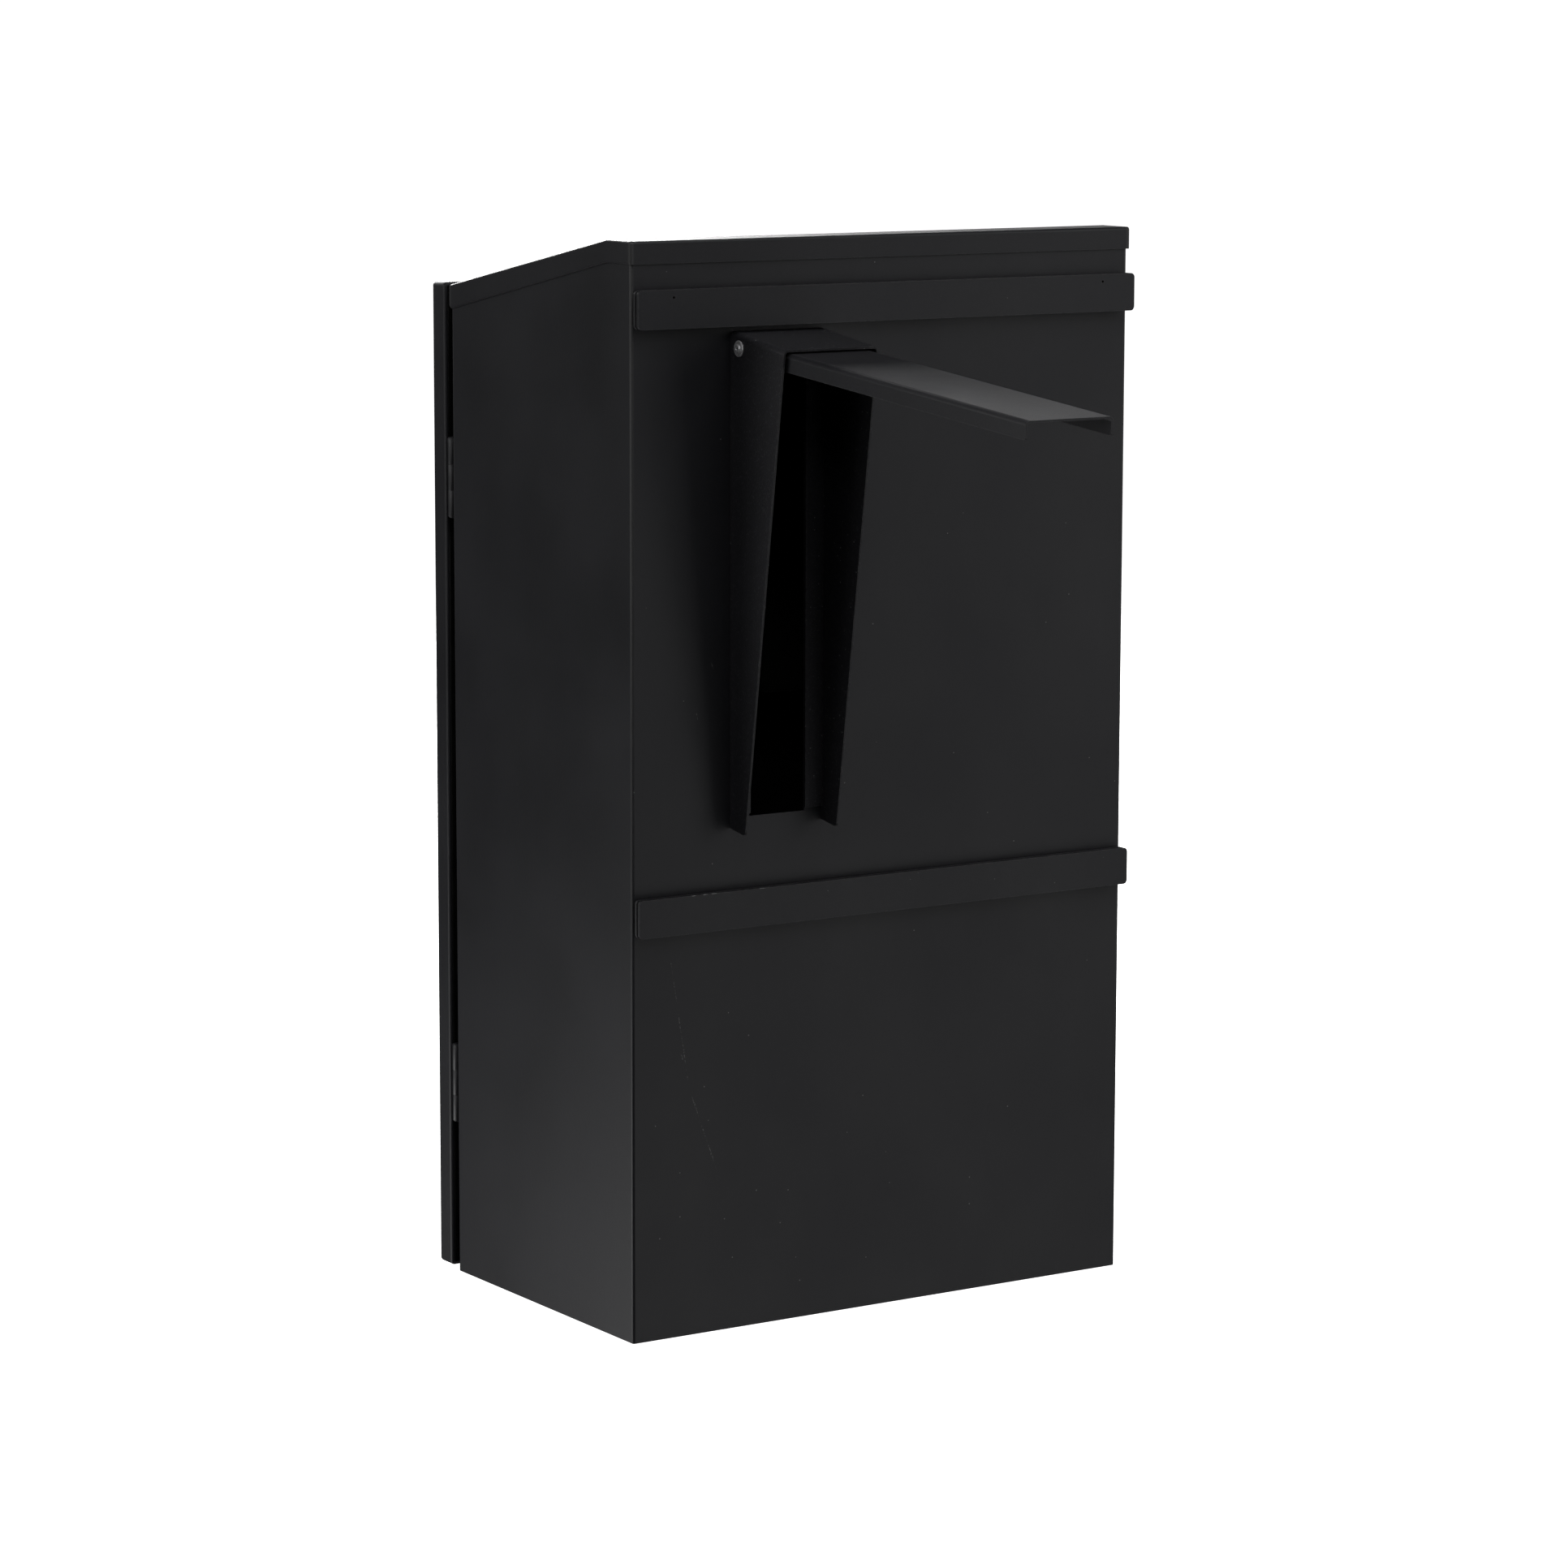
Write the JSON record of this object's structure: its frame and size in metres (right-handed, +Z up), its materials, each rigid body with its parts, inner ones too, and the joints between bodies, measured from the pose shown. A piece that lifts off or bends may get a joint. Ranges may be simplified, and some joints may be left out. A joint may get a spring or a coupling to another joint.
{
  "type": "parcel drop box",
  "caption": "Wall-hung steel parcel box with sloping roof cap, full-height hinged door, drop flap, cam lock, rear mounting rails and a swing-out hanging arm.",
  "frame": {"origin": "centre of the cabinet's underside", "axes": "+Z up; the door faces -Y; the mounting rails and the swing arm are at +Y; the door hinges are at +X"},
  "size_m": [0.4026, 0.6064, 0.734],
  "materials": {
    "black_powder_coat": "satin fine-texture black powder coat",
    "black_textured_coat": "matt coarse-texture black powder coat",
    "arm_coat": "matt black powder coat, slightly worn",
    "hinge_coat": "semi-gloss black paint",
    "rubber_seal": "matt black rubber",
    "mat_rubber": "black rubber with fine ribs",
    "rivet_steel": "plain stainless steel",
    "zinc_steel": "bright zinc plating",
    "washer_nylon": "black nylon",
    "lock_chrome": "satin chrome"
  },
  "bodies": {
    "cabinet": {"body_shell": "black_powder_coat", "bottom_pan": "black_powder_coat", "front_frame": "black_powder_coat", "door_seal": "rubber_seal", "roof_cap": "black_powder_coat", "floor_mat": "mat_rubber", "upper_rail_inner_strap": "black_powder_coat", "upper_rail_outer_strap": "black_powder_coat", "upper_rail_spacers": "black_powder_coat", "upper_rail_standoffs": "black_powder_coat", "lower_rail_inner_strap": "black_powder_coat", "lower_rail_outer_strap": "black_powder_coat", "lower_rail_spacers": "black_powder_coat", "lower_rail_standoffs": "black_powder_coat", "arm_bracket": "black_textured_coat", "arm_pivot_rivets": "rivet_steel", "arm_pivot_washers": "washer_nylon", "upper_hinge_body_leaf": "hinge_coat", "upper_hinge_pin": "hinge_coat", "lower_hinge_body_leaf": "hinge_coat", "lower_hinge_pin": "hinge_coat", "body_hinge_rivets": "hinge_coat"},
    "door": {"door_panel": "black_powder_coat", "door_liner": "black_powder_coat", "flap_throat": "black_powder_coat", "flap_rod": "zinc_steel", "rod_clips": "zinc_steel", "flap_buffers": "rubber_seal", "chute_plate": "black_powder_coat", "upper_hinge_door_leaf": "hinge_coat", "lower_hinge_door_leaf": "hinge_coat", "door_hinge_rivets": "hinge_coat", "lock_housing": "lock_chrome", "lock_nut": "zinc_steel"},
    "flap": {"drop_flap": "black_powder_coat", "flap_pull": "black_powder_coat", "pull_rivets": "black_powder_coat"},
    "lock_core": {"lock_plug": "lock_chrome", "lock_cam": "zinc_steel", "cam_screw": "zinc_steel"},
    "arm": {"swing_arm": "arm_coat"}
  },
  "joints": [
    {"name": "door_hinge", "type": "hinge", "parent": "cabinet", "child": "door", "pos_m": [0.1977, -0.1225, 0.348], "axis": [0, 0, 1], "range_deg": [0, 100]},
    {"name": "flap_hinge", "type": "hinge", "parent": "door", "child": "flap", "pos_m": [0, -0.1384, 0.641], "axis": [-1, 0, 0], "range_deg": [0, 70]},
    {"name": "lock_turn", "type": "hinge", "parent": "door", "child": "lock_core", "pos_m": [-0.152, -0.1439, 0.348], "axis": [0, 1, 0], "range_deg": [0, 90]},
    {"name": "arm_swing", "type": "hinge", "parent": "cabinet", "child": "arm", "pos_m": [0.0866, 0.1288, 0.6626], "axis": [-1, 0, 0], "range_deg": [0, 83]}
  ]
}
